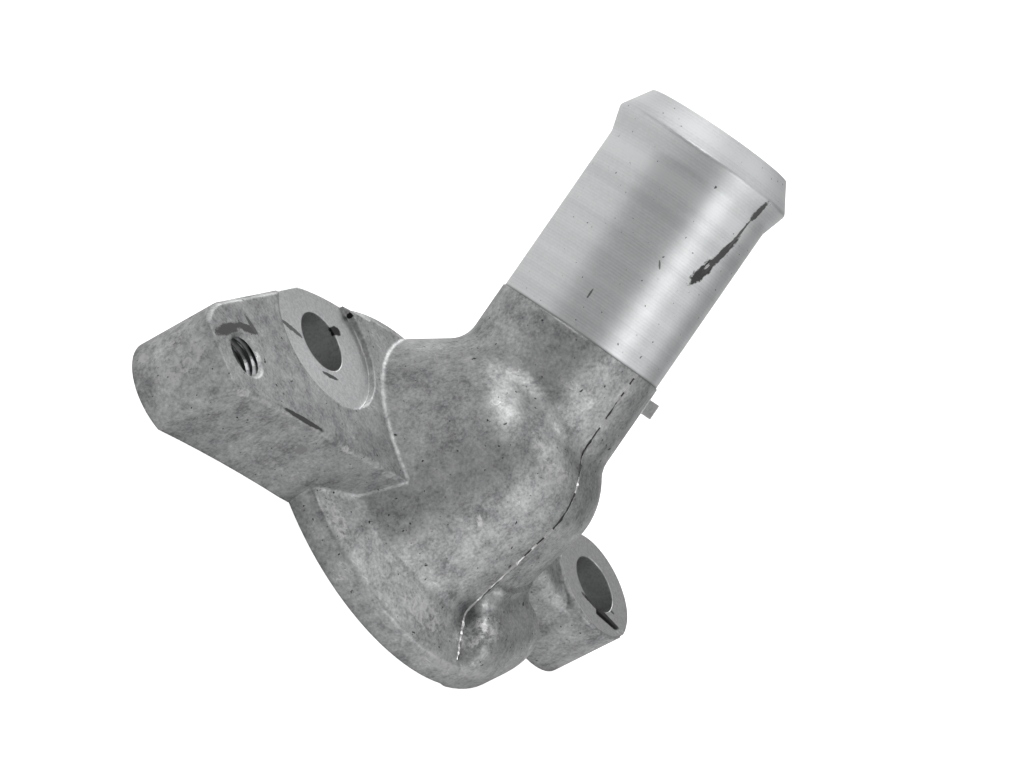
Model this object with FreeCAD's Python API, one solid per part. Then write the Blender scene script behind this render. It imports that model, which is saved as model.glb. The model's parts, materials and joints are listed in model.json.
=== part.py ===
import FreeCAD, Part
import os
from math import atan2, cos, pi, radians, sin, tan

# Thermostat housing: one aluminium die casting, in millimetres.
# Origin: centre of the thermostat seat on the mounting face. +Z points away from that face,
# and Y runs along the line of the two mounting bolts, with the arm on the +Y side.

# mounting flange, a round plate under the dome
flange_r = 33.2
flange_shift_x = -0.5
flange_shift_y = -0.5
flange_rim_t = 4.8
flange_slope_deg = 19.5
flange_rim_bevel = 0.5

# dome over the thermostat, a cone with a rounded crown that leans off the flange's centre line
dome_foot_r = 27.8
dome_draft_deg = 20.5
dome_h = 34.2
dome_crown_round = 12.0
dome_lean_deg = 8.4
dome_foot_fillet = 3.0
wall_t = 3.6
chamber_crown_bevel = 4.0

# thermostat seat in the mounting face
seat_r = 27.5
seat_depth = 2.5
chamber_mouth_r = 23.6
chamber_mouth_end = 5.0

# hose spigot, turned at its outer end
spigot_azimuth_deg = 10.74
spigot_elevation_deg = 54.0
spigot_root_x = -2.1
spigot_root_y = -4.9
spigot_root_z = 13.9
neck_od = 30.5
hose_od = 30.0
spigot_bore_d = 24.0
spigot_bore_start = 8.0
turned_from = 29.9
hose_land_end = 60.6
bead_crest_at = 65.0
spigot_length = 69.8
bead_od = 32.6
tip_od = 26.6
bead_round = 1.0
neck_fillet = 5.0

# two mounting bolts, M10 with clearance
bolt_span = 74.0
bolt_mid_y = -1.4
bolt_hole_d = 10.4

# arm that carries one bolt and a tapped boss
arm_h = 14.9
arm_draft = 1.2
arm_root_y = 4.0
arm_near_root_x = -15.3
arm_near_root_y = 13.0
arm_near_bend_x = -19.4
arm_near_bend_before_bolt = 7.0
arm_near_mid_x = -21.7
arm_near_mid_past_bolt = 4.4
arm_near_side_deg = 163.0
arm_far_side_deg = 41.3
arm_boss_r = 9.6
arm_boss_swell = 0.3
arm_far_bend_x = 11.6
arm_far_bend_before_bolt = 6.0
arm_far_root_x = 17.2
arm_far_root_y = 9.8
arm_edge_bevel = 0.6
arm_root_fillet = 0.8
spot_face_d = 24.4
spot_face_depth = 1.1

# tapped boss at the end of the arm: M8 x 1.25, tapping size
thread_from_bolt_x = -18.7
thread_from_bolt_y = 19.5
thread_core_d = 6.7
thread_mouth_d = 7.8
thread_boss_r = 9.3
end_flat_from_thread = 7.1
end_flat_slope_deg = 12.0
end_flat_azimuth_deg = 127.0

# lug that carries the other bolt
lug_h = 13.8
lug_r = 10.0
lug_web_w = 17.0
lug_web_drop = 0.7
lug_web_end_y = -15.0
lug_web_end_z = 18.0
lug_web_round = 3.0
lug_scar_x = -6.6
lug_scar_w = 1.3
lug_scar_depth = 0.9
lug_edge_bevel = 0.4
lug_root_fillet = 1.0

# thick shoulder of the casting between the lug and the parting plane
shoulder_proud = 1.0
shoulder_h = 12.0
shoulder_end_round = 3.0
shoulder_cove = 3.5
shoulder_lean = 1.2
shoulder_to_deg = 241.0

# small square tab left on the neck by the casting die
tab_from_turned = 3.3
tab_length = 2.7
tab_width = 3.0
tab_proud = 1.8
tab_angle_deg = 224.0


# values worked out from the sizes above
arm_bolt_y = bolt_mid_y + bolt_span / 2
lug_bolt_y = bolt_mid_y - bolt_span / 2
thread_x = thread_from_bolt_x
thread_y = arm_bolt_y + thread_from_bolt_y
shoulder_r = flange_r + shoulder_proud
dome_slope = tan(radians(dome_draft_deg))
cone_run_on = 10.0
touch = 0.001
up = FreeCAD.Vector(0, 0, 1)


def point(x, y, z=0.0):
    return FreeCAD.Vector(x, y, z)


# a closed wire from a start point and steps: (end) is a straight side, (through, end) an arc
def closed_wire(start, steps):
    edges = []
    here = start
    for step in steps:
        if len(step) == 1:
            edges.append(Part.LineSegment(here, step[0]).toShape())
        else:
            edges.append(Part.Arc(here, step[0], step[1]).toShape())
        here = step[-1]
    return Part.Wire(edges)


# a solid turned about the Z axis from corners given as (radius, height)
def turned(corners):
    places = [point(r, 0, z) for r, z in corners]
    profile = Part.Wire(Part.makePolygon(places + [places[0]]).Edges)
    return Part.Face(profile).revolve(point(0, 0), up, 360)


def middle_of(edge):
    return edge.valueAt((edge.FirstParameter + edge.LastParameter) / 2)


# the edges of a shape that lie on a given curve or set of curves
def edges_on(shape, curves):
    found = []
    for edge in shape.Edges:
        if curves.distToShape(Part.Vertex(middle_of(edge)))[0] < touch:
            found.append(edge)
    return found


# joins a piece to the casting and rounds the part of their seam that lies inside a region
def cast_on(body, piece, fillet, region):
    seam = body.section(piece)
    joined = body.fuse(piece).removeSplitter()
    corners = [edge for edge in edges_on(joined, seam) if region(middle_of(edge))]
    return joined.makeFillet(fillet, corners)


# the round plate, its top sloping up from a softened rim to inside the dome
def flange():
    slope = tan(radians(flange_slope_deg))
    inner_r = dome_foot_r - dome_foot_fillet - wall_t
    top = flange_rim_t + (flange_r - inner_r) * slope
    soft = flange_rim_bevel
    plate = turned([(0, 0), (flange_r, 0), (flange_r, flange_rim_t - soft),
                    (flange_r - soft, flange_rim_t + soft * slope), (inner_r, top), (0, top)])
    plate.translate(point(flange_shift_x, flange_shift_y))
    return plate


# the leaning dome down to a floor
def dome(floor):
    cone = upright_cone(0)
    return leaning(cone.makeFillet(dome_crown_round, crown_of(cone, 0)), floor)


# the space inside the dome's wall, with a bevel in the place of the rounded crown
def chamber(floor):
    cone = upright_cone(wall_t)
    return leaning(cone.makeChamfer(chamber_crown_bevel, crown_of(cone, wall_t)), floor)


# the dome's cone before it leans, inset by a wall and run on below the mounting face
def upright_cone(inset):
    top = dome_h - inset
    top_r = cone_radius(inset, top)
    return turned([(0, -cone_run_on), (cone_radius(inset, -cone_run_on), -cone_run_on),
                   (top_r, top), (0, top)])


def cone_radius(inset, z):
    return dome_foot_r - inset / cos(radians(dome_draft_deg)) - z * dome_slope


def crown_of(cone, inset):
    top = dome_h - inset
    return edges_on(cone, Part.makeCircle(cone_radius(inset, top), point(0, 0, top)))


def leaning(piece, floor):
    azimuth = radians(spigot_azimuth_deg)
    piece.rotate(point(0, 0), point(cos(azimuth), sin(azimuth)), dome_lean_deg)
    return piece.common(space_above(floor))


# the space over a height
def space_above(floor):
    reach = 2 * bolt_span
    return Part.makeBox(2 * reach, 2 * reach, reach, point(-reach, -reach, floor))


# sets a piece made along Z onto the spigot's axis, with +X turned to the axis's lower side
def on_spigot(piece):
    tilt = FreeCAD.Rotation(point(0, 1), 90 - spigot_elevation_deg)
    swing = FreeCAD.Rotation(up, spigot_azimuth_deg)
    root = point(spigot_root_x, spigot_root_y, spigot_root_z)
    piece.Placement = FreeCAD.Placement(root, swing.multiply(tilt)).multiply(piece.Placement)
    return piece


def cast_neck():
    return on_spigot(Part.makeCylinder(neck_od / 2, turned_from))


# the hose land and the bead beyond it, whose crest is an arc that leaves both slopes smoothly
def turned_spigot():
    rise = atan2((bead_od - hose_od) / 2, bead_crest_at - hose_land_end)
    fall = atan2((bead_od - tip_od) / 2, spigot_length - bead_crest_at)
    half_turn = (rise + fall) / 2
    reach = bead_round * tan(half_turn)
    sag = bead_round / cos(half_turn) - bead_round
    lean = (fall - rise) / 2
    crest_r = bead_od / 2
    before = point(crest_r - reach * sin(rise), 0, bead_crest_at - reach * cos(rise))
    mid = point(crest_r - sag * cos(lean), 0, bead_crest_at - sag * sin(lean))
    after = point(crest_r - reach * sin(fall), 0, bead_crest_at + reach * cos(fall))
    start = turned_from / 2
    profile = closed_wire(point(0, 0, start), [
        (point(hose_od / 2, 0, start),), (point(hose_od / 2, 0, hose_land_end),), (before,),
        (mid, after), (point(tip_od / 2, 0, spigot_length),), (point(0, 0, spigot_length),),
        (point(0, 0, start),)])
    return on_spigot(Part.Face(profile).revolve(point(0, 0), up, 360))


def spigot_bore():
    return on_spigot(Part.makeCylinder(spigot_bore_d / 2, spigot_length, point(0, 0, spigot_bore_start)))


def neck_tab():
    reach = neck_od / 2 + tab_proud
    block = Part.makeBox(reach, tab_width, tab_length, point(0, -tab_width / 2, -tab_length / 2))
    block.rotate(point(0, 0), up, tab_angle_deg)
    block.translate(point(0, 0, turned_from - tab_from_turned))
    return on_spigot(block)


# the arm's outline at one height; grow moves its near wall outwards
def arm_outline(z, grow):
    near_end = on_rim(thread_x, thread_y, thread_boss_r, arm_near_side_deg, z)
    end_mid = on_rim(thread_x, thread_y, thread_boss_r, (arm_near_side_deg + arm_far_side_deg) / 2, z)
    far_start = on_rim(thread_x, thread_y, thread_boss_r, arm_far_side_deg, z)
    far_end = on_rim(0, arm_bolt_y, arm_boss_r, arm_far_side_deg, z)
    boss_mid = on_rim(0, arm_bolt_y, arm_boss_r + arm_boss_swell, 0, z)
    far_bend = point(arm_far_bend_x, arm_bolt_y - arm_far_bend_before_bolt, z)
    far_root = point(arm_far_root_x, arm_far_root_y, z)
    near_root = point(arm_near_root_x - grow, arm_near_root_y, z)
    near_bend = point(arm_near_bend_x - grow, arm_bolt_y - arm_near_bend_before_bolt, z)
    near_mid = point(arm_near_mid_x - grow, arm_bolt_y + arm_near_mid_past_bolt, z)
    return closed_wire(near_bend, [(near_root,), (point(0, arm_root_y, z),), (far_root,), (far_bend,),
                                   (boss_mid, far_end), (far_start,), (end_mid, near_end),
                                   (near_mid, near_bend)])


# a place on a circle about (x, y), at an angle from +X
def on_rim(x, y, r, angle_deg, z):
    angle = radians(angle_deg)
    return point(x + r * cos(angle), y + r * sin(angle), z)


def arm_blank():
    return Part.makeLoft([arm_outline(0, arm_draft), arm_outline(arm_h, 0)], True, True)


def arm():
    return arm_blank().cut(end_flat())


# the slivers that a bevel takes off the arm's top edges, clear of the dome
def arm_edge_waste():
    blank = arm_blank()
    top = [edge for edge in blank.Edges if middle_of(edge).z > arm_h - touch]
    waste = blank.cut(blank.makeChamfer(arm_edge_bevel, top))
    kept = Part.makeCylinder(dome_foot_r, 2 * arm_h)
    return waste.cut(kept)


# the sloping flat on the end of the tapped boss
def end_flat():
    outward = 2 * arm_h
    block = Part.makeBox(outward, 2 * outward, 2 * outward,
                         point(end_flat_from_thread, -outward, -outward))
    block.rotate(point(end_flat_from_thread, 0), point(0, 1), -end_flat_slope_deg)
    block.rotate(point(0, 0), up, end_flat_azimuth_deg)
    block.translate(point(thread_x, thread_y, arm_h))
    return block


def spot_face():
    floor = arm_h - spot_face_depth
    return Part.makeCylinder(spot_face_d / 2, arm_h, point(0, arm_bolt_y, floor))


def tapped_hole():
    core = Part.makeCylinder(thread_core_d / 2, arm_h, point(thread_x, thread_y, 0))
    depth = (thread_mouth_d - thread_core_d) / 2
    mouth = Part.makeCone(thread_core_d / 2, thread_mouth_d / 2, depth,
                          point(thread_x, thread_y, arm_h - depth))
    return core.fuse(mouth)


# the round lug and the rounded web that fills the space between it and the dome
def lug():
    boss = Part.makeCylinder(lug_r, lug_h, point(0, lug_bolt_y))
    rim = Part.makeCircle(lug_r, point(0, lug_bolt_y, lug_h))
    boss = boss.makeChamfer(lug_edge_bevel, edges_on(boss, rim))
    left = -lug_web_w / 2
    low = lug_h - lug_web_drop
    profile = closed_wire(point(left, lug_bolt_y), [
        (point(left, lug_bolt_y, low),), (point(left, lug_bolt_y + lug_r, low),),
        (point(left, lug_web_end_y, lug_web_end_z),), (point(left, lug_web_end_y),),
        (point(left, lug_bolt_y),)])
    web = Part.Face(profile).extrude(point(lug_web_w, 0))
    sides = [edge for edge in web.Edges if abs(middle_of(edge).x) > lug_web_w / 2 - touch
             and middle_of(edge).z > low - touch]
    return boss.fuse(web.makeFillet(lug_web_round, sides)).removeSplitter()


# the narrow scar that runs over the lug's face from the hole to its outer edge
def lug_scar():
    return Part.makeBox(lug_scar_w, 2 * lug_r, lug_h,
                        point(lug_scar_x, lug_bolt_y - 2 * lug_r, lug_h - lug_scar_depth))


def bolt_hole(y):
    return Part.makeCylinder(bolt_hole_d / 2, 2 * arm_h, point(0, y))


# the thick shoulder of the flange, from the parting plane to the lug: its side rounds over to the
# top and runs from there up into the dome's side in a cove
def shoulder():
    side = radians(90 - dome_draft_deg)
    curve = shoulder_round()
    bend = point(shoulder_r - curve, 0, shoulder_h)
    centre = point(shoulder_r - curve, 0, shoulder_h + shoulder_cove)
    inner_r = cove_at(centre, side).x - shoulder_cove
    profile = closed_wire(point(inner_r, 0), [
        (point(shoulder_r, 0),), (point(shoulder_r, 0, shoulder_h - curve),),
        (bend + point(curve * sin(pi / 4), 0, curve * cos(pi / 4) - curve), bend),
        (cove_at(centre, side / 2), cove_at(centre, side)),
        (point(inner_r, 0, cove_at(centre, side).z),), (point(inner_r, 0),)])
    block = Part.Face(profile).revolve(point(0, 0), up, 360)
    quarter = Part.makeCylinder(2 * shoulder_r, 2 * shoulder_h, point(0, 0), up, 90)
    quarter.rotate(point(0, 0), up, shoulder_to_deg - 90)
    block = block.common(quarter).common(behind_parting())
    ends = [edge for edge in block.Edges if is_shoulder_end(edge)]
    return block.makeFillet(shoulder_end_round, ends)


# the radius that takes the shoulder's side over to where the cove leaves its top
def shoulder_round():
    dome_r = cone_radius(0, shoulder_h) + shoulder_lean
    reach = shoulder_cove * tan(radians(90 - dome_draft_deg) / 2)
    return shoulder_r - dome_r - reach


# a place on the cove, at an angle from its foot on the shoulder's land
def cove_at(centre, angle):
    return centre + point(-shoulder_cove * sin(angle), 0, -shoulder_cove * cos(angle))


# whether an edge of the shoulder bounds one of its ends on the outside
def is_shoulder_end(edge):
    place = middle_of(edge)
    reach = (place.x ** 2 + place.y ** 2) ** 0.5
    rises = edge.BoundBox.ZLength > touch
    return rises and reach > shoulder_r - shoulder_round()


# the space on the lug's side of the plane where the casting's dies part
def behind_parting():
    reach = 2 * bolt_span
    block = Part.makeBox(2 * reach, reach, reach, point(-reach, -reach, 0))
    block.rotate(point(0, 0), up, spigot_azimuth_deg)
    block.translate(point(spigot_root_x, spigot_root_y))
    return block


# the hollow from the mounting face: seat, chamber and the bore of the spigot
def hollow():
    seat = Part.makeCylinder(seat_r, seat_depth)
    mouth = Part.makeCylinder(chamber_mouth_r, chamber_mouth_end)
    return seat.fuse(mouth).fuse(chamber(seat_depth / 2)).fuse(spigot_bore())


def everywhere(place):
    return True


def arm_seam(place):
    return place.x < 1 and place.z > flange_rim_t + arm_root_fillet / 2


def lug_seam(place):
    return place.z > lug_h - lug_web_round


os.makedirs("parts", exist_ok=True)
casting = cast_on(flange(), dome(flange_rim_t / 2), dome_foot_fillet, everywhere)
casting = cast_on(casting, cast_neck(), neck_fillet, everywhere)
casting = cast_on(casting, arm(), arm_root_fillet, arm_seam).cut(arm_edge_waste())
casting = cast_on(casting, lug(), lug_root_fillet, lug_seam)
casting = casting.fuse(shoulder())
casting = casting.fuse(neck_tab()).fuse(turned_spigot())
casting = casting.cut(hollow()).cut(spot_face()).cut(tapped_hole()).cut(lug_scar())
casting = casting.cut(bolt_hole(arm_bolt_y)).cut(bolt_hole(lug_bolt_y)).removeSplitter()
casting.exportStep("parts/housing.step")
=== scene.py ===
import json
import math
import bmesh
import bpy
from mathutils import Matrix, Vector, noise


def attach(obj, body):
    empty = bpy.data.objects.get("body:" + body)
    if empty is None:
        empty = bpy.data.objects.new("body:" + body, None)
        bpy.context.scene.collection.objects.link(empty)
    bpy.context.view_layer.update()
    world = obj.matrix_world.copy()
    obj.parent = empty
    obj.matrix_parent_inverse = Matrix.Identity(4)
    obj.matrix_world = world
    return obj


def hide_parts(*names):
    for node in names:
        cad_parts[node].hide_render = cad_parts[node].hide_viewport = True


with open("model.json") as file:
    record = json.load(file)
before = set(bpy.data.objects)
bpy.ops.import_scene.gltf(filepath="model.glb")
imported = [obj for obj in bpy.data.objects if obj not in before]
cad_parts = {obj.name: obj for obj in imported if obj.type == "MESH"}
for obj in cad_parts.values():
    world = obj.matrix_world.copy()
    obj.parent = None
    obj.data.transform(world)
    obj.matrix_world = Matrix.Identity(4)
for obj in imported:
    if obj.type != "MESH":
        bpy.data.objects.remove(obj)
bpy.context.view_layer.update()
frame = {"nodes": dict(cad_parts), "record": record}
print("frame loaded")


# The scene's own helpers: colours, shader nodes and finished meshes.
def linearColour(hexCode):
    parts = [int(hexCode[i:i + 2], 16) / 255 for i in (1, 3, 5)]
    return tuple(c / 12.92 if c <= 0.04045 else ((c + 0.055) / 1.055) ** 2.4 for c in parts) + (1.0,)


def addNode(tree, kind, settings=None, inputs=None):
    node = tree.nodes.new(kind)
    for name, value in (settings or {}).items():
        setattr(node, name, value)
    for key, value in (inputs or {}).items():
        if isinstance(value, bpy.types.NodeSocket):
            tree.links.new(value, node.inputs[key])
        else:
            node.inputs[key].default_value = value
    return node


def newMaterial(name):
    material = bpy.data.materials.new(name)
    material.use_nodes = True
    tree = material.node_tree
    tree.nodes.clear()
    return material, tree


# The scene is in metres; mm() takes sizes and places given in millimetres.
def mm(value):
    return value / 1000


# The spigot's axis, read off the shared frame's own mounts.
mounts = {m["name"]: m for m in frame["record"]["mounts"]}
spigotEnd = Vector(mounts["hose_spigot"]["pos_m"])
spigotAxis = Vector(mounts["hose_spigot"]["axis"]).normalized()
spigotLength = mm(69.8)
spigotRoot = spigotEnd - spigotAxis * spigotLength
turnedFrom = mm(29.9)  # how far along the axis the turned length begins


# pattern scale for a noise whose features are to measure so many millimetres
def perMm(size):
    return 1000.0 / size


# Marks on the surfaces, each a small flattened patch: its middle, the direction it runs in and the
# surface's direction out, half its length, width and depth, how ragged it is, and its colour. A
# flecked one is laid on as a scatter of pale spots: most are scuffs, and a few are painted light. These are
# on the spigot.
spigotMarks = [
    # dark torn smear, wide at its lower end and thin towards the bead
    {"at": (14.6, -1.1, 62.8), "along": (0.60, -0.20, 0.77), "out": (-0.80, -0.13, 0.59),
     "half": (3.2, 1.2, 2.0), "ragged": 0.75, "colour": "#4b4b4b"},
    {"at": (17.1, -1.9, 66.0), "along": (0.61, -0.16, 0.77), "out": (-0.79, -0.18, 0.59),
     "half": (4.2, 0.8, 2.0), "ragged": 0.7, "colour": "#595959"},
    {"at": (19.8, -2.2, 69.6), "along": (0.60, 0.0, 0.80), "out": (-0.78, -0.22, 0.59),
     "half": (3.0, 0.3, 2.0), "ragged": 0.5, "colour": "#6c6c6c"},
    {"at": (22.2, -1.9, 73.5), "along": (0.45, 0.2, 0.86), "out": (-0.85, -0.25, 0.45),
     "half": (2.3, 0.65, 2.0), "ragged": 1.1, "colour": "#636363"},
    {"at": (15.4, -1.0, 63.4), "along": (0.60, -0.20, 0.77), "out": (-0.80, -0.13, 0.59),
     "half": (0.8, 0.3, 2.0), "ragged": 0.8, "colour": "#d3d3d3", "flecked": True},
    # nicks in the edge of its mouth
    {"at": (33.2, -8.3, 72.2), "along": (0.7, -0.6, -0.4), "out": (0.58, 0.11, 0.81),
     "half": (2.6, 0.5, 0.5), "ragged": 1.1, "colour": "#6c6c6c"},
    # short dark nicks along it
    {"at": (9.8, 10.0, 48.1), "along": (0.58, 0.11, 0.81), "out": (-0.6, 0.73, 0.33),
     "half": (0.9, 0.16, 0.8), "ragged": 0.7, "colour": "#7c7c7c"},
    {"at": (12.9, 5.7, 58.9), "along": (0.3, 0.7, 0.6), "out": (-0.78, 0.36, 0.51),
     "half": (0.8, 0.16, 0.8), "ragged": 0.8, "colour": "#7c7c7c"}]

# These are on the cast skin, and those at the height of the milled faces on these faces too.
castingMarks = [
    # marking ink smeared beyond the tapped hole
    {"at": (-16.8, 59.8, 14.9), "along": (0.72, -0.69, 0.0), "out": (0.0, 0.0, 1.0),
     "half": (4.1, 0.95, 1.0), "ragged": 0.55, "colour": "#5d5d5d"},
    {"at": (-13.1, 55.2, 14.9), "along": (0.36, -0.93, 0.0), "out": (0.0, 0.0, 1.0),
     "half": (2.5, 0.8, 1.0), "ragged": 0.5, "colour": "#5d5d5d"},
    {"at": (-11.6, 54.2, 14.9), "along": (0.49, 0.87, 0.0), "out": (0.0, 0.0, 1.0),
     "half": (2.1, 0.5, 1.0), "ragged": 0.5, "colour": "#696969"},
    # round dull spot left by an ejector pin
    {"at": (-21.1, 35.6, 9.8), "along": (0.0, 0.0, 1.0), "out": (-0.97, -0.21, 0.08),
     "half": (1.0, 1.0, 1.0), "ragged": 0.35, "colour": "#979797"},
    # dark line along the arm's near edge, painted shade on that edge, and pale flecked patches along it, a
    # painted highlight on its rounded corner
    {"at": (-21.6, 41.0, 14.7), "along": (0.23, -0.97, 0.0), "out": (-0.6, 0.0, 0.8),
     "half": (5.2, 0.38, 1.0), "ragged": 0.5, "colour": "#595959"},
    {"at": (-26.3, 54.9, 14.5), "along": (0.3, -0.95, 0.0), "out": (-0.66, -0.2, 0.72),
     "half": (1.9, 0.8, 1.0), "ragged": 0.9, "colour": "#d3d3d3", "flecked": True},
    {"at": (-24.6, 49.8, 14.4), "along": (0.25, -0.97, 0.0), "out": (-0.66, -0.2, 0.72),
     "half": (2.6, 0.4, 0.8), "ragged": 0.9, "colour": "#c4c4c4", "flecked": True},
    {"at": (-19.6, 29.9, 14.4), "along": (0.2, -0.98, 0.0), "out": (-0.66, -0.2, 0.72),
     "half": (1.5, 0.6, 0.8), "ragged": 0.9, "colour": "#d3d3d3", "flecked": True},
    {"at": (-16.9, 19.0, 14.3), "along": (0.2, -0.98, 0.0), "out": (-0.66, -0.2, 0.72),
     "half": (1.7, 0.7, 0.8), "ragged": 0.9, "colour": "#cbcbcb", "flecked": True},
    # pale flow marks on the arm's end
    {"at": (-17.1, 64.3, 9.3), "along": (0.9, -0.16, 0.4), "out": (0.18, 0.98, 0.0),
     "half": (4.4, 1.9, 1.4), "ragged": 1.5, "colour": "#c4c4c4", "flecked": True},
    {"at": (-22.4, 62.8, 9.0), "along": (0.35, 0.1, 0.93), "out": (-0.59, 0.78, 0.21),
     "half": (4.6, 2.0, 1.6), "ragged": 1.5, "colour": "#c4c4c4", "flecked": True},
    {"at": (-17.1, 64.3, 3.6), "along": (0.8, -0.14, 0.6), "out": (0.18, 0.98, 0.0),
     "half": (4.2, 1.8, 1.4), "ragged": 1.5, "colour": "#c4c4c4", "flecked": True},
    # dark marks beside the bolt holes and along the lug's slot, and pits in the casting
    # painted shadow: this black patch stands for the shade in a small notch beside the bolt hole
    {"at": (10.4, 29.1, 14.4), "along": (0.0, -1.0, 0.0), "out": (0.0, 0.0, 1.0),
     "half": (0.9, 0.26, 0.6), "ragged": 0.4, "colour": "#2c2c2c"},
    # a dark spot at the bolt hole's rim
    {"at": (5.0, 32.2, 13.8), "along": (0.5, -0.86, 0.0), "out": (0.0, 0.0, 1.0),
     "half": (1.7, 0.85, 0.8), "ragged": 0.8, "colour": "#353535"},
    # painted shade along the step at the hole's lower rim
    {"at": (-5.9, 33.4, 13.8), "along": (0.3, -0.95, 0.0), "out": (0.0, 0.0, 1.0),
     "half": (2.1, 0.38, 0.6), "ragged": 0.6, "colour": "#5d5d5d"},
    # a thin dark line across the spot face
    {"at": (-3.0, 43.2, 13.8), "along": (0.05, -1.0, 0.0), "out": (0.0, 0.0, 1.0),
     "half": (2.8, 0.5, 0.8), "ragged": 0.7, "colour": "#767676"},
    # painted shade: this dark band stands for the shade in the lug's slot
    {"at": (-5.1, -40.0, 13.6), "along": (-0.08, -1.0, 0.0), "out": (0.0, 0.0, 1.0),
     "half": (5.9, 0.62, 1.2), "ragged": 0.35, "colour": "#505050"},
    {"at": (-2.9, -43.4, 13.8), "along": (0.0, 1.0, 0.0), "out": (0.0, 0.0, 1.0),
     "half": (0.55, 0.3, 0.6), "ragged": 0.6, "colour": "#6c6c6c"},
    {"at": (-16.7, -19.2, 12.3), "along": (1.0, 0.0, 0.0), "out": (-0.3, -0.34, 0.89),
     "half": (0.34, 0.3, 0.6), "ragged": 0.5, "colour": "#454545"},
    {"at": (-19.9, -7.6, 18.2), "along": (0.0, 0.5, 0.86), "out": (-0.89, -0.32, 0.33),
     "half": (0.35, 0.25, 0.5), "ragged": 0.8, "colour": "#636363"},
    # scuffs: on the flange, its rim and the shoulder, below the arm, and on the dome by the flash; and on
    # the shoulder's end face a pale patch of painted light
    {"at": (-33.0, -6.0, 3.8), "along": (0.2, -0.98, 0.0), "out": (-0.98, -0.2, 0.0),
     "half": (5.5, 1.4, 1.2), "ragged": 1.1, "colour": "#c0c0c0", "flecked": True},
    {"at": (-30.0, -15.5, 4.8), "along": (0.5, -0.86, 0.0), "out": (-0.86, -0.5, 0.0),
     "half": (5.0, 1.2, 1.2), "ragged": 1.1, "colour": "#bcbcbc", "flecked": True},
    {"at": (-28.6, 0.0, 6.6), "along": (0.1, -0.98, -0.1), "out": (-0.34, 0.0, 0.94),
     "half": (5.5, 2.4, 1.4), "ragged": 1.6, "colour": "#cbcbcb", "flecked": True},
    {"at": (-26.6, -11.6, 11.3), "along": (0.5, -0.8, 0.1), "out": (-0.4, 0.2, 0.89),
     "half": (3.4, 2.0, 1.6), "ragged": 1.6, "colour": "#cbcbcb", "flecked": True},
    # painted light: this pale patch lifts the shade on the shoulder's end face in its cove
    {"at": (-27.6, -9.6, 9.0), "along": (0.3, 0.0, 0.95), "out": (-0.32, 0.94, 0.15),
     "half": (3.4, 2.2, 1.6), "ragged": 1.2, "colour": "#e7e7e7", "flecked": True},
    {"at": (-22.3, 22.0, 5.4), "along": (-0.68, -0.73, 0.0), "out": (-0.3, 0.3, 0.9),
     "half": (4.2, 1.9, 1.8), "ragged": 1.1, "colour": "#cbcbcb", "flecked": True},
    {"at": (-12.7, -1.5, 32.2), "along": (0.3, -0.8, 0.3), "out": (-0.58, 0.03, 0.82),
     "half": (3.6, 1.7, 1.4), "ragged": 1.6, "colour": "#cbcbcb", "flecked": True},
    {"at": (-11.0, 2.9, 32.7), "along": (0.5, 0.7, 0.2), "out": (-0.5, 0.2, 0.84),
     "half": (3.2, 1.4, 1.4), "ragged": 1.6, "colour": "#cbcbcb", "flecked": True},
    {"at": (-19.1, 3.3, 20.3), "along": (0.1, 0.8, 0.5), "out": (-0.88, 0.22, 0.41),
     "half": (2.0, 0.4, 0.8), "ragged": 1.1, "colour": "#cbcbcb", "flecked": True}]
milledMarks = [mark for mark in castingMarks if 13 < mark["at"][2] < 15]


# 0 to 1: how much of a mark covers the place, with a torn edge drawn by a shared noise
def markMask(tree, place, ragged, mark):
    along = Vector(mark["along"]).normalized()
    out = Vector(mark["out"])
    out = (out - along * out.dot(along)).normalized()
    axes = Matrix((along, out.cross(along), out)).transposed()
    inside = addNode(tree, "ShaderNodeMapping", {"vector_type": "TEXTURE"},
                     {"Vector": place, "Location": mm(Vector(mark["at"])), "Rotation": axes.to_euler(),
                      "Scale": mm(Vector(mark["half"]))})
    reach = addNode(tree, "ShaderNodeVectorMath", {"operation": "LENGTH"}, {0: inside.outputs[0]})
    torn = addNode(tree, "ShaderNodeMath", {"operation": "MULTIPLY_ADD"},
                   {0: ragged, 1: mark["ragged"] * 2, 2: reach.outputs["Value"]})
    return addNode(tree, "ShaderNodeMapRange", inputs={"Value": torn.outputs[0],
                   "From Min": 1.08 + mark["ragged"], "From Max": 0.86 + mark["ragged"]}).outputs["Result"]


markNoise = {"raggedMm": 0.9, "fleckMm": 1.1, "fleckCover": 0.9}


# lays marks over a colour: dark ones whole, and pale flecked ones as a scatter of flecks
def withMarks(tree, place, colour, marks):
    s = markNoise
    ragged = addNode(tree, "ShaderNodeTexNoise", inputs={"Vector": place, "Scale": perMm(s["raggedMm"]),
                     "Detail": 5.0, "Roughness": 0.7}).outputs["Fac"]
    torn = addNode(tree, "ShaderNodeTexNoise", inputs={"Vector": place, "Scale": perMm(s["fleckMm"]),
                   "Detail": 7.0, "Roughness": 0.75, "Distortion": 0.6}).outputs["Fac"]
    flecks = addNode(tree, "ShaderNodeMapRange", inputs={"Value": torn, "From Min": 0.44,
                     "From Max": 0.58, "To Max": s["fleckCover"]}).outputs["Result"]
    for mark in marks:
        mask = markMask(tree, place, ragged, mark)
        if mark.get("flecked"):
            mask = addNode(tree, "ShaderNodeMath", {"operation": "MULTIPLY"},
                           {0: mask, 1: flecks}).outputs[0]
        colour = addNode(tree, "ShaderNodeMix", {"data_type": "RGBA"},
                         {0: mask, 6: colour, 7: linearColour(mark["colour"])}).outputs[2]
    return colour


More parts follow.
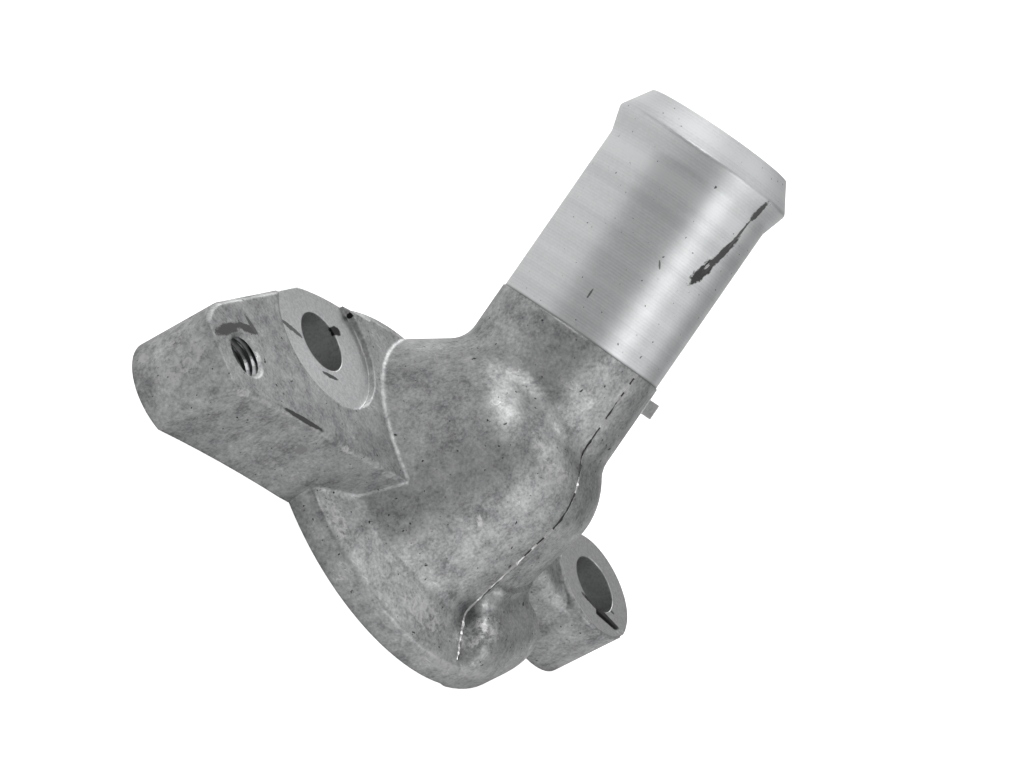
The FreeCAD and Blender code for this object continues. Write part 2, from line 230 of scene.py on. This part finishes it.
# 0 on open surfaces and up to 1 on the corners, outer and inner alike: handling rubs the outer corners of a
# casting bright, and on the inner ones its pale is a painted highlight
def cornerMask(tree, radiusMm):
    rounded = addNode(tree, "ShaderNodeBevel", {"samples": 6}, {"Radius": mm(radiusMm)}).outputs["Normal"]
    flat = addNode(tree, "ShaderNodeNewGeometry").outputs["Normal"]
    agree = addNode(tree, "ShaderNodeVectorMath", {"operation": "DOT_PRODUCT"}, {0: rounded, 1: flat})
    mask = addNode(tree, "ShaderNodeMapRange", inputs={"Value": agree.outputs["Value"], "From Min": 0.995,
                                                       "From Max": 0.86}).outputs["Result"]
    return mask, rounded


castSettings = {"dark": "#7f8081", "light": "#cacbcb", "rubbedAndLit": "#dededd", "pit": "#454545",
                "roughness": 0.42, "roughnessDull": 0.54, "blotchMm": 7, "mottleMm": 2.2, "gritMm": 0.5,
                "pitMm": 0.8, "scratchMm": 2.6, "edgeMm": 0.6, "wearAndHighlight": 0.3, "bump": 0.32, "bumpMm": 0.1}


# as-cast aluminium: a dull grey skin, blotched and mottled, with fine grit, pale corners, worn on the outer
# ones and a painted highlight on the inner ones, and short bright scratches, so that it reads as an old die
# casting beside the bright turned spigot
def castAluminium(s):
    material, tree = newMaterial("castAluminium")
    place = addNode(tree, "ShaderNodeTexCoord").outputs["Object"]
    blotch = addNode(tree, "ShaderNodeTexNoise", inputs={"Vector": place, "Scale": perMm(s["blotchMm"]),
                     "Detail": 5.0, "Roughness": 0.55, "Distortion": 0.3}).outputs["Fac"]
    mottle = addNode(tree, "ShaderNodeTexNoise", inputs={"Vector": place, "Scale": perMm(s["mottleMm"]),
                     "Detail": 6.0, "Roughness": 0.75}).outputs["Fac"]
    grit = addNode(tree, "ShaderNodeTexNoise", inputs={"Vector": place, "Scale": perMm(s["gritMm"]),
                   "Detail": 3.0, "Roughness": 0.6}).outputs["Fac"]
    fine = addNode(tree, "ShaderNodeMath", {"operation": "MULTIPLY_ADD"}, {0: grit, 1: 0.75, 2: mottle})
    summed = addNode(tree, "ShaderNodeMath", {"operation": "MULTIPLY_ADD"},
                     {0: blotch, 1: 0.8, 2: fine.outputs[0]})
    blend = addNode(tree, "ShaderNodeMapRange", inputs={"Value": summed.outputs[0], "From Min": 0.98,
                                                        "From Max": 1.6}).outputs["Result"]
    colour = addNode(tree, "ShaderNodeMix", {"data_type": "RGBA"},
                     {0: blend, 6: linearColour(s["dark"]), 7: linearColour(s["light"])}).outputs[2]
    # pits: tiny dark dots, thinly strewn
    dots = addNode(tree, "ShaderNodeTexNoise", inputs={"Vector": place, "Scale": perMm(s["pitMm"]),
                   "Detail": 1.0}).outputs["Fac"]
    pit = addNode(tree, "ShaderNodeMapRange", inputs={"Value": dots, "From Min": 0.735,
                                                      "From Max": 0.77}).outputs["Result"]
    colour = addNode(tree, "ShaderNodeMix", {"data_type": "RGBA"},
                     {0: pit, 6: colour, 7: linearColour(s["pit"])}).outputs[2]
    # scratches: thin level lines of a stretched noise, let through only in patches
    drawn = addNode(tree, "ShaderNodeMapping", inputs={"Vector": place, "Rotation": (0.5, 0.9, 0.4),
                                                       "Scale": (1.0, 0.16, 1.0)}).outputs[0]
    lines = addNode(tree, "ShaderNodeTexNoise", inputs={"Vector": drawn, "Scale": perMm(s["scratchMm"]),
                    "Detail": 3.0, "Distortion": 1.2}).outputs["Fac"]
    level = addNode(tree, "ShaderNodeMath", {"operation": "SUBTRACT"}, {0: lines, 1: 0.5})
    thin = addNode(tree, "ShaderNodeMath", {"operation": "ABSOLUTE"}, {0: level.outputs[0]})
    line = addNode(tree, "ShaderNodeMapRange", inputs={"Value": thin.outputs[0], "From Min": 0.012,
                                                       "From Max": 0.0}).outputs["Result"]
    patch = addNode(tree, "ShaderNodeMapRange", inputs={"Value": blotch, "From Min": 0.56,
                                                        "From Max": 0.66}).outputs["Result"]
    scratch = addNode(tree, "ShaderNodeMath", {"operation": "MULTIPLY"}, {0: line, 1: patch}).outputs[0]
    corner, rounded = cornerMask(tree, s["edgeMm"])
    broken = addNode(tree, "ShaderNodeMapRange", inputs={"Value": fine.outputs[0], "From Min": 0.8,
                     "From Max": 1.15, "To Max": s["wearAndHighlight"]}).outputs["Result"]
    # pale corners: wear on the outer ones and painted highlight on the inner ones
    wornAndLit = addNode(tree, "ShaderNodeMath", {"operation": "MULTIPLY"}, {0: corner, 1: broken}).outputs[0]
    bareAndLit = addNode(tree, "ShaderNodeMath", {"operation": "MAXIMUM"}, {0: scratch, 1: wornAndLit}).outputs[0]
    colour = addNode(tree, "ShaderNodeMix", {"data_type": "RGBA"},
                     {0: bareAndLit, 6: colour, 7: linearColour(s["rubbedAndLit"])}).outputs[2]
    colour = withMarks(tree, place, colour, castingMarks)
    roughness = addNode(tree, "ShaderNodeMapRange", inputs={"Value": blend, "To Min": s["roughnessDull"],
                                                            "To Max": s["roughness"]}).outputs["Result"]
    bump = addNode(tree, "ShaderNodeBump", inputs={"Height": fine.outputs[0], "Strength": s["bump"],
                                                   "Distance": mm(s["bumpMm"]), "Normal": rounded})
    surface = addNode(tree, "ShaderNodeBsdfPrincipled", inputs={"Base Color": colour, "Metallic": 1.0,
                      "Roughness": roughness, "Normal": bump.outputs["Normal"]})
    addNode(tree, "ShaderNodeOutputMaterial", inputs={"Surface": surface.outputs["BSDF"]})
    return material


turnedSettings = {"dark": "#cccecf", "light": "#dedfe0", "pit": "#616161", "stepShade": "#3f3f3f",
                  "roughness": 0.43, "tipRoughness": 0.6, "tipFromMm": 65.1, "ringPitchMm": 0.35,
                  "feedMm": 0.5, "bandMm": 5, "speckMm": 0.6, "dotMm": 0.7, "edgeMm": 0.35,
                  "stepShadeMm": 0.45, "bump": 0.34, "bumpMm": 0.05}


# lathe-turned aluminium: bright, with fine rings round the spigot and faint wider bands, which give
# the long soft streaks of light along it. The tool's feed marks are drawn coarser than they are,
# so that they show. The tip is rougher, and looks evenly pale.
def turnedAluminium(s):
    material, tree = newMaterial("turnedAluminium")
    place = addNode(tree, "ShaderNodeTexCoord").outputs["Object"]
    along = addNode(tree, "ShaderNodeVectorMath", {"operation": "DOT_PRODUCT"},
                    {0: place, 1: spigotAxis}).outputs["Value"]
    rings = addNode(tree, "ShaderNodeTexNoise", {"noise_dimensions": "1D"},
                    {"W": along, "Scale": perMm(s["ringPitchMm"]), "Detail": 2.0}).outputs["Fac"]
    bands = addNode(tree, "ShaderNodeTexNoise", {"noise_dimensions": "1D"},
                    {"W": along, "Scale": perMm(s["bandMm"]), "Detail": 5.0}).outputs["Fac"]
    specks = addNode(tree, "ShaderNodeTexNoise", inputs={"Vector": place, "Scale": perMm(s["speckMm"]),
                     "Detail": 4.0, "Roughness": 0.7}).outputs["Fac"]
    turns = addNode(tree, "ShaderNodeMath", {"operation": "MULTIPLY"},
                    {0: along, 1: math.tau * perMm(s["feedMm"])}).outputs[0]
    groove = addNode(tree, "ShaderNodeMath", {"operation": "SINE"}, {0: turns}).outputs[0]
    blend = addNode(tree, "ShaderNodeMath", {"operation": "MULTIPLY_ADD"}, {0: specks, 1: 0.6, 2: bands})
    # the feed grooves also darken the colour a little: painted shade in the grooves
    ringed = addNode(tree, "ShaderNodeMath", {"operation": "MULTIPLY_ADD"},
                     {0: groove, 1: 0.06, 2: blend.outputs[0]})
    tone = addNode(tree, "ShaderNodeMapRange", inputs={"Value": ringed.outputs[0], "From Min": 0.55,
                                                       "From Max": 1.0}).outputs["Result"]
    colour = addNode(tree, "ShaderNodeMix", {"data_type": "RGBA"},
                     {0: tone, 6: linearColour(s["dark"]), 7: linearColour(s["light"])}).outputs[2]
    dots = addNode(tree, "ShaderNodeTexNoise", inputs={"Vector": place, "Scale": perMm(s["dotMm"]),
                   "Detail": 1.0}).outputs["Fac"]
    pit = addNode(tree, "ShaderNodeMapRange", inputs={"Value": dots, "From Min": 0.75,
                                                      "From Max": 0.78}).outputs["Result"]
    colour = addNode(tree, "ShaderNodeMix", {"data_type": "RGBA"},
                     {0: pit, 6: colour, 7: linearColour(s["pit"])}).outputs[2]
    # a thin dark line of painted shade in the corner where the turning tool stopped
    rootAlong = spigotRoot.dot(spigotAxis)
    stop = rootAlong + turnedFrom
    stepShade = addNode(tree, "ShaderNodeMapRange", inputs={"Value": along, "From Min": stop + mm(s["stepShadeMm"]),
                    "From Max": stop, "To Max": 0.8}).outputs["Result"]
    colour = addNode(tree, "ShaderNodeMix", {"data_type": "RGBA"},
                     {0: stepShade, 6: colour, 7: linearColour(s["stepShade"])}).outputs[2]
    colour = withMarks(tree, place, colour, spigotMarks)
    rounded = cornerMask(tree, s["edgeMm"])[1]
    height = addNode(tree, "ShaderNodeMath", {"operation": "MULTIPLY_ADD"}, {0: groove, 1: 0.18, 2: rings})
    bump = addNode(tree, "ShaderNodeBump", inputs={"Height": height.outputs[0], "Strength": s["bump"],
                                                   "Distance": mm(s["bumpMm"]), "Normal": rounded})
    tip = rootAlong + mm(s["tipFromMm"])
    roughness = addNode(tree, "ShaderNodeMapRange", inputs={"Value": along, "From Min": tip,
                        "From Max": tip + mm(0.2), "To Min": s["roughness"],
                        "To Max": s["tipRoughness"]}).outputs["Result"]
    surface = addNode(tree, "ShaderNodeBsdfPrincipled", inputs={"Base Color": colour, "Metallic": 1.0,
                      "Roughness": roughness, "Normal": bump.outputs["Normal"]})
    addNode(tree, "ShaderNodeOutputMaterial", inputs={"Surface": surface.outputs["BSDF"]})
    return material


milledSettings = {"dark": "#c8c9c9", "light": "#e2e3e3", "roughness": 0.36, "gritMm": 0.5,
                  "edgeMm": 0.25, "bump": 0.2, "bumpMm": 0.05}


# spot-faced and milled aluminium: clean and pale, slightly satin, with a few dark specks
def milledAluminium(s):
    material, tree = newMaterial("milledAluminium")
    place = addNode(tree, "ShaderNodeTexCoord").outputs["Object"]
    grit = addNode(tree, "ShaderNodeTexNoise", inputs={"Vector": place, "Scale": perMm(s["gritMm"]),
                   "Detail": 5.0, "Roughness": 0.7}).outputs["Fac"]
    tone = addNode(tree, "ShaderNodeMapRange", inputs={"Value": grit, "From Min": 0.35,
                                                       "From Max": 0.6}).outputs["Result"]
    colour = addNode(tree, "ShaderNodeMix", {"data_type": "RGBA"},
                     {0: tone, 6: linearColour(s["dark"]), 7: linearColour(s["light"])}).outputs[2]
    colour = withMarks(tree, place, colour, milledMarks)
    rounded = cornerMask(tree, s["edgeMm"])[1]
    bump = addNode(tree, "ShaderNodeBump", inputs={"Height": grit, "Strength": s["bump"],
                                                   "Distance": mm(s["bumpMm"]), "Normal": rounded})
    surface = addNode(tree, "ShaderNodeBsdfPrincipled", inputs={"Base Color": colour, "Metallic": 1.0,
                      "Roughness": s["roughness"], "Normal": bump.outputs["Normal"]})
    addNode(tree, "ShaderNodeOutputMaterial", inputs={"Surface": surface.outputs["BSDF"]})
    return material


litFlankSettings = {"name": "litFlankAluminium", "colour": "#d2d2d1", "roughness": 0.4}
shadedFlankSettings = {"name": "shadedFlankAluminium", "colour": "#515151", "roughness": 0.55}
# the thread's dim tone is painted shade inside the tapped hole
threadedSettings = {"name": "threadedAluminium", "colour": "#8c8d8e", "roughness": 0.3}


# plain aluminium of one tone: light on one flank of the parting ridge as painted highlight, dark on the
# other as painted shade, and dim in the thread as painted shade inside the hole, where its glints draw the
# turns
def plainAluminium(s):
    material, tree = newMaterial(s["name"])
    surface = addNode(tree, "ShaderNodeBsdfPrincipled", inputs={"Base Color": linearColour(s["colour"]),
                      "Metallic": 1.0, "Roughness": s["roughness"]})
    addNode(tree, "ShaderNodeOutputMaterial", inputs={"Surface": surface.outputs["BSDF"]})
    return material


housingSettings = {"mergeMm": 0.002, "sharpDeg": 38, "faceTopMm": 13.8, "seatDepthMm": 2.5,
                   "boltsMm": (35.6, -38.4), "boltReachMm": 5.3, "spigotReachMm": 18, "tabFromMm": 24,
                   "tabOutMm": 15.6, "level": 0.99, "upright": 0.1, "slackMm": 0.05}
threadSettings = {"atMm": (-18.7, 55.1), "crestMm": 3.35, "rootMm": 3.98, "pitchMm": 1.25,
                  "topMm": 14.1, "bottomMm": 0.02, "turns": 12, "stepsPerTurn": 40, "crestFlat": 0.12}


# which finish a face of the casting is given, told from where it lies: 0 cast, 1 turned and 2 milled; the
# cast tab is given the pale milled one as painted light
def finishOf(face, s):
    middle = face.calc_center_median()
    offset = middle - spigotRoot
    along = offset.dot(spigotAxis)
    out = (offset - spigotAxis * along).length
    if along > turnedFrom - mm(2 * s["slackMm"]) and out < mm(s["spigotReachMm"]):
        return 1
    # painted light: the cast tab, on the shaded side, gets the pale milled finish
    if mm(s["tabFromMm"]) < along < turnedFrom and out > mm(s["tabOutMm"]):
        return 2
    level = abs(face.normal.z) > s["level"]
    bolt = min(math.hypot(middle.x, middle.y - mm(y)) for y in s["boltsMm"])
    if abs(face.normal.z) < s["upright"] and bolt < mm(s["boltReachMm"]):
        return 2
    heights = [mm(height) for height in (0, s["seatDepthMm"], s["faceTopMm"])]
    if level and min(abs(middle.z - height) for height in heights) < mm(s["slackMm"]):
        return 2
    return 0


# the plain wall of the tapped hole, which the thread takes the place of
def isTappedWall(face):
    middle = face.calc_center_median()
    across, up = threadSettings["atMm"]
    reach = math.hypot(middle.x - mm(across), middle.y - mm(up))
    slack = housingSettings["slackMm"]
    return abs(face.normal.z) < housingSettings["upright"] and reach < mm(threadSettings["crestMm"] + slack)


# a copy of the casting's own mesh, merged
def castCopy(s):
    shape = bmesh.new()
    shape.from_mesh(frame["nodes"]["housing"].data)
    bmesh.ops.remove_doubles(shape, verts=shape.verts, dist=mm(s["mergeMm"]))
    return shape


def finishPiece(shape, name, materials):
    mesh = bpy.data.meshes.new(name)
    shape.to_mesh(mesh)
    shape.free()
    for material in materials:
        mesh.materials.append(material)
    piece = bpy.data.objects.new(name, mesh)
    bpy.context.scene.collection.objects.link(piece)
    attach(piece, "root")
    return piece


def makeHousing(s, materials):
    shape = castCopy(s)
    wall = [face for face in shape.faces if isTappedWall(face)]
    bmesh.ops.delete(shape, geom=wall, context="FACES")
    for face in shape.faces:
        face.smooth = True
        face.material_index = finishOf(face, s)
    for edge in shape.edges:
        edge.smooth = edge.is_manifold and edge.calc_face_angle(0) < math.radians(s["sharpDeg"])
    housing = finishPiece(shape, "castHousing", materials)
    weighted = housing.modifiers.new("evenNormals", "WEIGHTED_NORMAL")
    weighted.keep_sharp = True
    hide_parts("housing")
    return housing


# the M8 thread: one tooth swept round and down the hole, cut level at both ends
def makeThread(s, material):
    shape = bmesh.new()
    pitch = s["pitchMm"]
    start = s["topMm"] + pitch
    crest = [pitch * (1 + flat) / 2 for flat in (-s["crestFlat"], s["crestFlat"])]
    corners = [(s["rootMm"], 0), (s["crestMm"], crest[0]), (s["crestMm"], crest[1]), (s["rootMm"], pitch)]
    verts = [shape.verts.new((mm(r), 0, mm(start - down))) for r, down in corners]
    edges = [shape.edges.new(pair) for pair in zip(verts, verts[1:])]
    bmesh.ops.spin(shape, geom=verts + edges, cent=(0, 0, 0), axis=(0, 0, -1),
                   dvec=(0, 0, -mm(pitch) / s["stepsPerTurn"]), angle=math.tau * s["turns"],
                   steps=s["turns"] * s["stepsPerTurn"], use_merge=False)
    bmesh.ops.remove_doubles(shape, verts=shape.verts, dist=mm(housingSettings["mergeMm"]))
    for height, side in ((mm(s["topMm"]), 1), (mm(s["bottomMm"]), -1)):
        geom = shape.verts[:] + shape.edges[:] + shape.faces[:]
        bmesh.ops.bisect_plane(shape, geom=geom, plane_co=(0, 0, height), plane_no=(0, 0, side),
                               clear_outer=True)
    bmesh.ops.translate(shape, verts=shape.verts, vec=(mm(s["atMm"][0]), mm(s["atMm"][1]), 0))
    bmesh.ops.recalc_face_normals(shape, faces=shape.faces)
    return finishPiece(shape, "tappedThread", [material])


# The steps are how many of a noise's features go to the metre.
ridgeSettings = {"startMm": 29.6, "startOutMm": 15.25, "endMm": 5.2, "mostPlaces": 2000, "joinMm": 0.01,
                 "stepMm": 0.4, "heightMm": 0.34, "nearMm": 0.32, "farMm": 0.4, "sinkMm": 0.06,
                 "wobbleMm": 0.3, "insideMm": (0, -4, 8), "turnMm": 21, "glintAbove": 0.22,
                 "coarseSteps": 900, "fineSteps": 2600, "wobbleSteps": 800, "glintSteps": 500}


# The casting's outline in the plane where its dies part, from the end of the turned length down
# the side away from the spigot's lean to the mounting face.
def partingOutline(s):
    shape = castCopy(housingSettings)
    across = spigotAxis.cross(Vector((0, 0, 1))).normalized()
    bmesh.ops.bisect_plane(shape, geom=shape.verts[:] + shape.edges[:] + shape.faces[:],
                           plane_co=spigotRoot, plane_no=across, clear_outer=True, clear_inner=True)
    bmesh.ops.remove_doubles(shape, verts=shape.verts, dist=mm(s["joinMm"]))
    upper = across.cross(spigotAxis).normalized()
    if upper.z < 0:
        upper.negate()
    begin = spigotRoot + spigotAxis * mm(s["startMm"]) + upper * mm(s["startOutMm"])
    here = min(shape.verts, key=lambda vert: (vert.co - begin).length)
    places = [here.co.copy()]
    last = None
    while places[-1].z > mm(s["endMm"]) and len(places) < s["mostPlaces"]:
        nexts = [edge.other_vert(here) for edge in here.link_edges]
        nexts = [vert for vert in nexts if vert is not last]
        if last is None:
            nexts.sort(key=lambda vert: (vert.co - here.co).normalized().dot(spigotAxis))
        if not nexts:
            break
        last, here = here, nexts[0]
        places.append(here.co.copy())
    shape.free()
    return places, across


# evenly spaced places along a line of places
def evenly(places, step):
    even = [places[0]]
    for near, far in zip(places, places[1:]):
        while (far - even[-1]).length > step and (far - near).length > 0:
            even.append(even[-1] + (far - even[-1]).normalized() * step)
    return even


# the ragged ridge of flash that the dies leave along their parting line: dark on one flank as painted shade
# and light on the other as painted highlight, which change sides near the shoulder
def makeRidge(s, materials):
    places, across = partingOutline(s)
    even = evenly(places, mm(s["stepMm"]))
    shape = bmesh.new()
    rows = []
    for i, place in enumerate(even):
        run = (even[min(i + 1, len(even) - 1)] - even[max(i - 1, 0)]).normalized()
        out = across.cross(run)
        if out.dot(place - mm(Vector(s["insideMm"]))) < 0:
            out.negate()
        rough = 0.55 + 0.75 * noise.noise(place * s["coarseSteps"])
        rough += 0.35 * noise.noise(place * s["fineSteps"])
        wobble = mm(s["wobbleMm"]) * noise.noise(place * s["wobbleSteps"])
        tip = place + out * mm(s["heightMm"]) * max(rough, 0.1) + across * wobble
        foot = place - out * mm(s["sinkMm"])
        rows.append([shape.verts.new(foot - across * mm(s["nearMm"])), shape.verts.new(tip),
                     shape.verts.new(foot + across * mm(s["farMm"]))])
    for before, after in zip(rows, rows[1:]):
        for k in (0, 1):
            strip = shape.faces.new((before[k], before[k + 1], after[k + 1], after[k]))
            # the dark flank is painted shade and the light flank painted highlight; where the glint noise
            # is high, a patch of the dark flank turns light as a painted glint
            lower = before[1].co.z < mm(s["turnMm"])
            glint = noise.noise(before[1].co * s["glintSteps"]) > s["glintAbove"]
            strip.material_index = int((k == 0) != lower and not glint)
    bmesh.ops.recalc_face_normals(shape, faces=shape.faces)
    return finishPiece(shape, "partingRidge", materials)


finishes = [castAluminium(castSettings), turnedAluminium(turnedSettings), milledAluminium(milledSettings)]
bareAndLit, shadedFlank = plainAluminium(litFlankSettings), plainAluminium(shadedFlankSettings)
threaded = plainAluminium(threadedSettings)
print("finishes mixed")
housing = makeHousing(housingSettings, finishes)
thread = makeThread(threadSettings, threaded)
ridge = makeRidge(ridgeSettings, [bareAndLit, shadedFlank])
print("housing finished:", [len(piece.data.polygons) for piece in (housing, thread, ridge)])


# A big pale floor that the camera sees as white, with the object's shadow on it.
floorSettings = {"halfWidth": 3.0, "colour": "#f2f2f2", "glow": 0.75, "dropMm": 0.05}


# matt paper: plain and shadowed, and to the camera alone it glows almost to white
def makeFloor(s):
    shape = bmesh.new()
    bmesh.ops.create_grid(shape, x_segments=1, y_segments=1, size=s["halfWidth"])
    mesh = bpy.data.meshes.new("paleFloor")
    shape.to_mesh(mesh)
    shape.free()
    material, tree = newMaterial("palePaper")
    seen = addNode(tree, "ShaderNodeLightPath").outputs["Is Camera Ray"]
    matt = addNode(tree, "ShaderNodeBsdfDiffuse", inputs={"Color": linearColour(s["colour"])})
    glow = addNode(tree, "ShaderNodeEmission", inputs={"Color": (1, 1, 1, 1), "Strength": s["glow"]})
    both = addNode(tree, "ShaderNodeAddShader", inputs={0: matt.outputs[0], 1: glow.outputs[0]})
    mixed = addNode(tree, "ShaderNodeMixShader", inputs={0: seen, 1: matt.outputs[0], 2: both.outputs[0]})
    addNode(tree, "ShaderNodeOutputMaterial", inputs={"Surface": mixed.outputs[0]})
    mesh.materials.append(material)
    floor = bpy.data.objects.new("paleFloor", mesh)
    floor.location.z = -mm(s["dropMm"])
    bpy.context.scene.collection.objects.link(floor)


makeFloor(floorSettings)
print("floor laid")

# The camera stands where the photograph was taken: rolled, with a long lens.
cameraSettings = {"right": (-0.02854, -0.59394, 0.80400), "up": (0.71877, 0.54677, 0.42944),
                  "back": (-0.69466, 0.59015, 0.41130), "offsetMm": (19.99, 18.52, 665.86),
                  "lensMm": 142.35, "sensorMm": 36, "clipEnd": 20}


def makeCamera(s):
    axes = Matrix((s["right"], s["up"], s["back"])).transposed()
    camera = bpy.data.objects.new("camera", bpy.data.cameras.new("camera"))
    camera.data.lens = s["lensMm"]
    camera.data.sensor_width = s["sensorMm"]
    camera.data.sensor_fit = "HORIZONTAL"
    camera.data.clip_end = s["clipEnd"]
    place = axes @ mm(Vector(s["offsetMm"]))
    camera.matrix_world = Matrix.Translation(place) @ axes.to_4x4()
    bpy.context.scene.collection.objects.link(camera)
    bpy.context.scene.camera = camera
    return axes


cameraAxes = makeCamera(cameraSettings)
print("camera placed")

# Soft boxes round the object, given by how far right, up and back of it they stand as the camera sees it.
# The brightest draws the streak along the spigot; the side towards the camera stays dim.
lampSettings = [{"name": "streakBox", "place": (0.50, -0.35, 0.52), "size": 0.35, "watts": 0.94},
                {"name": "rightBox", "place": (0.75, 0.2, 0.1), "size": 0.4, "watts": 0.79},
                {"name": "lowRightBox", "place": (0.70, -0.45, 0.0), "size": 0.4, "watts": 0.41},
                {"name": "bottomRightBox", "place": (0.45, -0.7, 0.1), "size": 0.35, "watts": 0.20},
                {"name": "topBox", "place": (0.15, 0.8, 0.1), "size": 0.45, "watts": 1.04},
                {"name": "topFrontBox", "place": (0.25, 0.55, 0.55), "size": 0.35, "watts": 1.50},
                {"name": "rimBox", "place": (0.3, 0.65, -0.45), "size": 0.45, "watts": 2.24},
                {"name": "leftBox", "place": (-0.62, 0.55, 0.35), "size": 0.4, "watts": 0.67},
                {"name": "lowBox", "place": (0.15, -0.75, 0.35), "size": 0.4, "watts": 1.39}]
roomLight = 0.28
lampsAimAt = Vector((0.0, 0.005, 0.03))


def makeLamps(lamps):
    for s in lamps:
        data = bpy.data.lights.new(s["name"], "AREA")
        data.energy = s["watts"]
        data.size = s["size"]
        lamp = bpy.data.objects.new(s["name"], data)
        lamp.location = lampsAimAt + cameraAxes @ Vector(s["place"])
        lamp.rotation_euler = (lampsAimAt - lamp.location).to_track_quat("-Z", "Y").to_euler()
        bpy.context.scene.collection.objects.link(lamp)
    world = bpy.data.worlds.new("studio")
    bpy.context.scene.world = world
    world.use_nodes = True
    tree = world.node_tree
    tree.nodes.clear()
    path = addNode(tree, "ShaderNodeLightPath").outputs["Is Camera Ray"]
    soft = addNode(tree, "ShaderNodeBackground", inputs={"Color": (1, 1, 1, 1), "Strength": roomLight})
    white = addNode(tree, "ShaderNodeBackground", inputs={"Color": (1, 1, 1, 1), "Strength": 1.0})
    mixed = addNode(tree, "ShaderNodeMixShader", inputs={0: path, 1: soft.outputs[0], 2: white.outputs[0]})
    addNode(tree, "ShaderNodeOutputWorld", inputs={"Surface": mixed.outputs[0]})


makeLamps(lampSettings)
bpy.context.scene.view_settings.view_transform = "Standard"
print("lamps lit")
